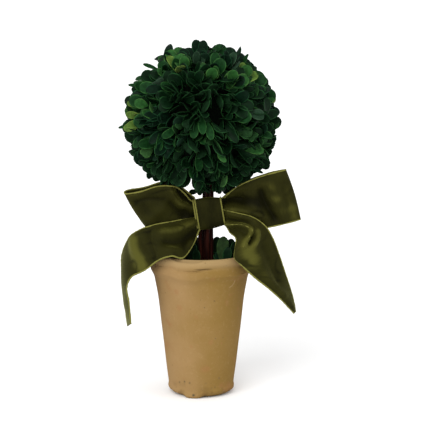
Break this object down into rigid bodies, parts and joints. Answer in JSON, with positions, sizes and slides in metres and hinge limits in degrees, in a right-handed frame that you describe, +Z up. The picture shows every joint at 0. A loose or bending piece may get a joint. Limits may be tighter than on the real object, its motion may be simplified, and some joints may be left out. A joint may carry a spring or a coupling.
{
  "type": "preserved boxwood ball topiary in a clay pot",
  "caption": "Clipped ball of preserved boxwood leaves on a bundle of thin sticks in a tapered clay pot, tied under the ball with an olive velvet bow.",
  "frame": {"origin": "centre of the flat underside of the clay pot", "axes": "+Z up through the sticks and the ball; -Y is the front, where the knot of the bow faces; +X is to the right seen from the front"},
  "size_m": [0.1573, 0.1411, 0.3118],
  "materials": {
    "clay": "matte",
    "foam": "matte",
    "bark": "satin",
    "leaves": "satin",
    "velvet": "matte"
  },
  "bodies": {
    "root": {"pot": "clay", "foam_plug": "foam", "stem_left": "bark", "stem_middle": "bark", "stem_right": "bark", "leaf_ball": "leaves", "pot_foliage": "leaves", "bow_knot": "velvet", "bow_band": "velvet", "bow_loop_left": "velvet", "bow_loop_right": "velvet", "bow_tail_left": "velvet", "bow_tail_right": "velvet"}
  },
  "joints": []
}
